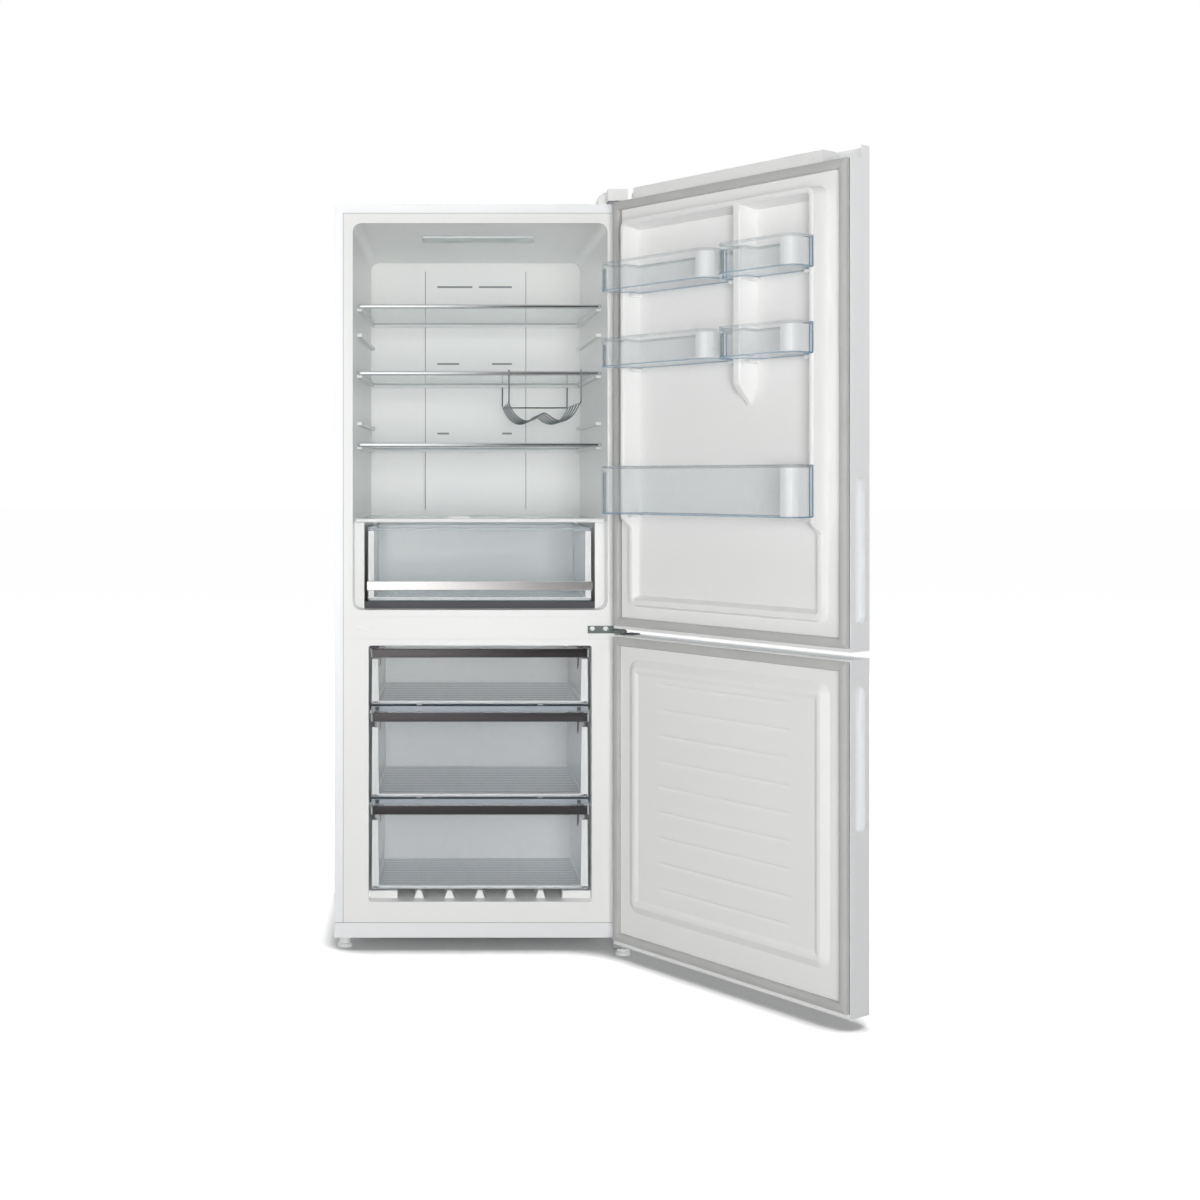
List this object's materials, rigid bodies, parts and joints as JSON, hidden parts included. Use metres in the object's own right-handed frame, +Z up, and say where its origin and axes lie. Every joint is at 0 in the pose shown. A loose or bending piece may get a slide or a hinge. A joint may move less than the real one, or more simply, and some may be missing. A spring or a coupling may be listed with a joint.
{
  "type": "bottom freezer refrigerator",
  "caption": "Free-standing white refrigerator with a freezer below, both doors open, glass shelves, clear bins and drawers, a wire bottle rack, seals, hinges, feet and cooling parts.",
  "frame": {"origin": "on the floor, at the middle of the bounding box of the part as it stands with both doors open", "axes": "+Z up, +X to the right of someone facing the doors (the hinge side), +Y towards the back"},
  "size_m": [1.1414, 1.223, 1.818],
  "materials": {
    "paint": "white gloss paint",
    "liner": "satin white moulded plastic",
    "foam": "rigid insulating foam",
    "zinc": "zinc plated steel",
    "chrome": "satin chrome",
    "glass": "clear toughened glass",
    "clear": "clear moulded plastic",
    "gasket": "soft grey seal",
    "dark": "black plastic",
    "grey": "grey plastic",
    "aluminium": "bare fins and tube",
    "black_steel": "black satin paint"
  },
  "bodies": {
    "cabinet": {"cabinet_shell": "paint", "back_panel": "zinc", "cabinet_foam": "foam", "fridge_liner": "liner", "freezer_liner": "liner", "mullion_cover": "liner", "base_frame": "paint", "air_duct_cover": "liner", "ceiling_light": "clear", "crisper_runner": "dark", "freezer_shelf_1": "clear", "freezer_shelf_2": "clear", "evaporator_cover": "liner", "evaporator": "aluminium", "fan_motor": "black_steel", "compressor": "black_steel", "drain_pan": "grey", "rear_cover": "zinc", "mains_inlet": "dark", "top_hinge": "zinc", "top_hinge_cover": "liner", "middle_hinge": "zinc", "bottom_hinge": "zinc"},
    "fan": {"fan_blade": "grey"},
    "foot_left": {"foot_left": "clear"},
    "foot_right": {"foot_right": "clear"},
    "roller_left": {"roller_left": "dark"},
    "roller_right": {"roller_right": "dark"},
    "shelf_1": {"shelf_glass_1": "glass", "shelf_trim_1": "chrome"},
    "shelf_2": {"shelf_glass_2": "glass", "shelf_trim_2": "chrome"},
    "shelf_3": {"shelf_glass_3": "glass", "shelf_trim_3": "chrome"},
    "bottle_rack": {"bottle_rack": "chrome"},
    "crisper_cover": {"crisper_cover_glass": "glass", "crisper_cover_trim": "liner"},
    "humidity_slider": {"humidity_slider": "liner"},
    "crisper": {"crisper_drawer": "clear", "crisper_handle": "chrome"},
    "freezer_drawer_1": {"freezer_drawer_1": "clear", "freezer_trim_1": "chrome"},
    "freezer_drawer_2": {"freezer_drawer_2": "clear", "freezer_trim_2": "chrome"},
    "freezer_drawer_3": {"freezer_drawer_3": "clear", "freezer_trim_3": "chrome"},
    "fridge_door": {"fridge_door_skin": "paint", "fridge_door_foam": "foam", "fridge_door_liner": "liner", "fridge_gasket": "gasket", "fridge_door_cap": "liner"},
    "door_bin_1": {"door_bin_1": "clear"},
    "door_bin_2": {"door_bin_2": "clear"},
    "door_bin_3": {"door_bin_3": "clear"},
    "door_bin_4": {"door_bin_4": "clear"},
    "door_bin_5": {"door_bin_5": "clear"},
    "freezer_door": {"freezer_door_skin": "paint", "freezer_door_foam": "foam", "freezer_door_liner": "liner", "freezer_gasket": "gasket"}
  },
  "joints": [
    {"name": "fridge_door_hinge", "type": "hinge", "parent": "cabinet", "child": "fridge_door", "pos_m": [0.11832, -0.04403, 1.28], "axis": [0, 0, 1], "range_deg": [-127.5, 7]},
    {"name": "freezer_door_hinge", "type": "hinge", "parent": "cabinet", "child": "freezer_door", "pos_m": [0.11832, -0.04403, 0.39], "axis": [0, 0, 1], "range_deg": [-127.5, 7]},
    {"name": "crisper_slide", "type": "slide", "parent": "cabinet", "child": "crisper", "axis": [0, -1, 0], "range_m": [0, 0.38]},
    {"name": "freezer_drawer_1_slide", "type": "slide", "parent": "cabinet", "child": "freezer_drawer_1", "axis": [0, -1, 0], "range_m": [0, 0.3]},
    {"name": "freezer_drawer_2_slide", "type": "slide", "parent": "cabinet", "child": "freezer_drawer_2", "axis": [0, -1, 0], "range_m": [0, 0.3]},
    {"name": "freezer_drawer_3_slide", "type": "slide", "parent": "cabinet", "child": "freezer_drawer_3", "axis": [0, -1, 0], "range_m": [0, 0.26]},
    {"name": "shelf_1_slide", "type": "slide", "parent": "cabinet", "child": "shelf_1", "axis": [0, -1, 0], "range_m": [0, 0.18]},
    {"name": "shelf_2_slide", "type": "slide", "parent": "cabinet", "child": "shelf_2", "axis": [0, -1, 0], "range_m": [0, 0.18]},
    {"name": "shelf_3_slide", "type": "slide", "parent": "cabinet", "child": "shelf_3", "axis": [0, -1, 0], "range_m": [0, 0.18]},
    {"name": "crisper_cover_slide", "type": "slide", "parent": "cabinet", "child": "crisper_cover", "axis": [0, -1, 0], "range_m": [0, 0.15]},
    {"name": "humidity_slide", "type": "slide", "parent": "crisper_cover", "child": "humidity_slider", "axis": [1, 0, 0], "range_m": [-0.05, 0.15]},
    {"name": "bottle_rack_slide", "type": "slide", "parent": "shelf_2", "child": "bottle_rack", "axis": [1, 0, 0], "range_m": [-0.35, 0.028]},
    {"name": "door_bin_1_lift", "type": "slide", "parent": "fridge_door", "child": "door_bin_1", "axis": [0, 0, 1], "range_m": [0, 0.025]},
    {"name": "door_bin_2_lift", "type": "slide", "parent": "fridge_door", "child": "door_bin_2", "axis": [0, 0, 1], "range_m": [0, 0.025]},
    {"name": "door_bin_3_lift", "type": "slide", "parent": "fridge_door", "child": "door_bin_3", "axis": [0, 0, 1], "range_m": [0, 0.025]},
    {"name": "door_bin_4_lift", "type": "slide", "parent": "fridge_door", "child": "door_bin_4", "axis": [0, 0, 1], "range_m": [0, 0.025]},
    {"name": "door_bin_5_lift", "type": "slide", "parent": "fridge_door", "child": "door_bin_5", "axis": [0, 0, 1], "range_m": [0, 0.025]},
    {"name": "fan_spin", "type": "hinge", "parent": "cabinet", "child": "fan", "pos_m": [-0.22068, 0.46417, 0.66], "axis": [0, 1, 0], "continuous": true},
    {"name": "roller_left_spin", "type": "hinge", "parent": "cabinet", "child": "roller_left", "pos_m": [-0.52068, 0.57647, 0.016], "axis": [1, 0, 0], "continuous": true},
    {"name": "roller_right_spin", "type": "hinge", "parent": "cabinet", "child": "roller_right", "pos_m": [0.07932, 0.57647, 0.016], "axis": [1, 0, 0], "continuous": true},
    {"name": "foot_left_screw", "type": "slide", "parent": "cabinet", "child": "foot_left", "axis": [0, 0, -1], "range_m": [0, 0.01]},
    {"name": "foot_right_screw", "type": "slide", "parent": "cabinet", "child": "foot_right", "axis": [0, 0, -1], "range_m": [0, 0.01]}
  ]
}
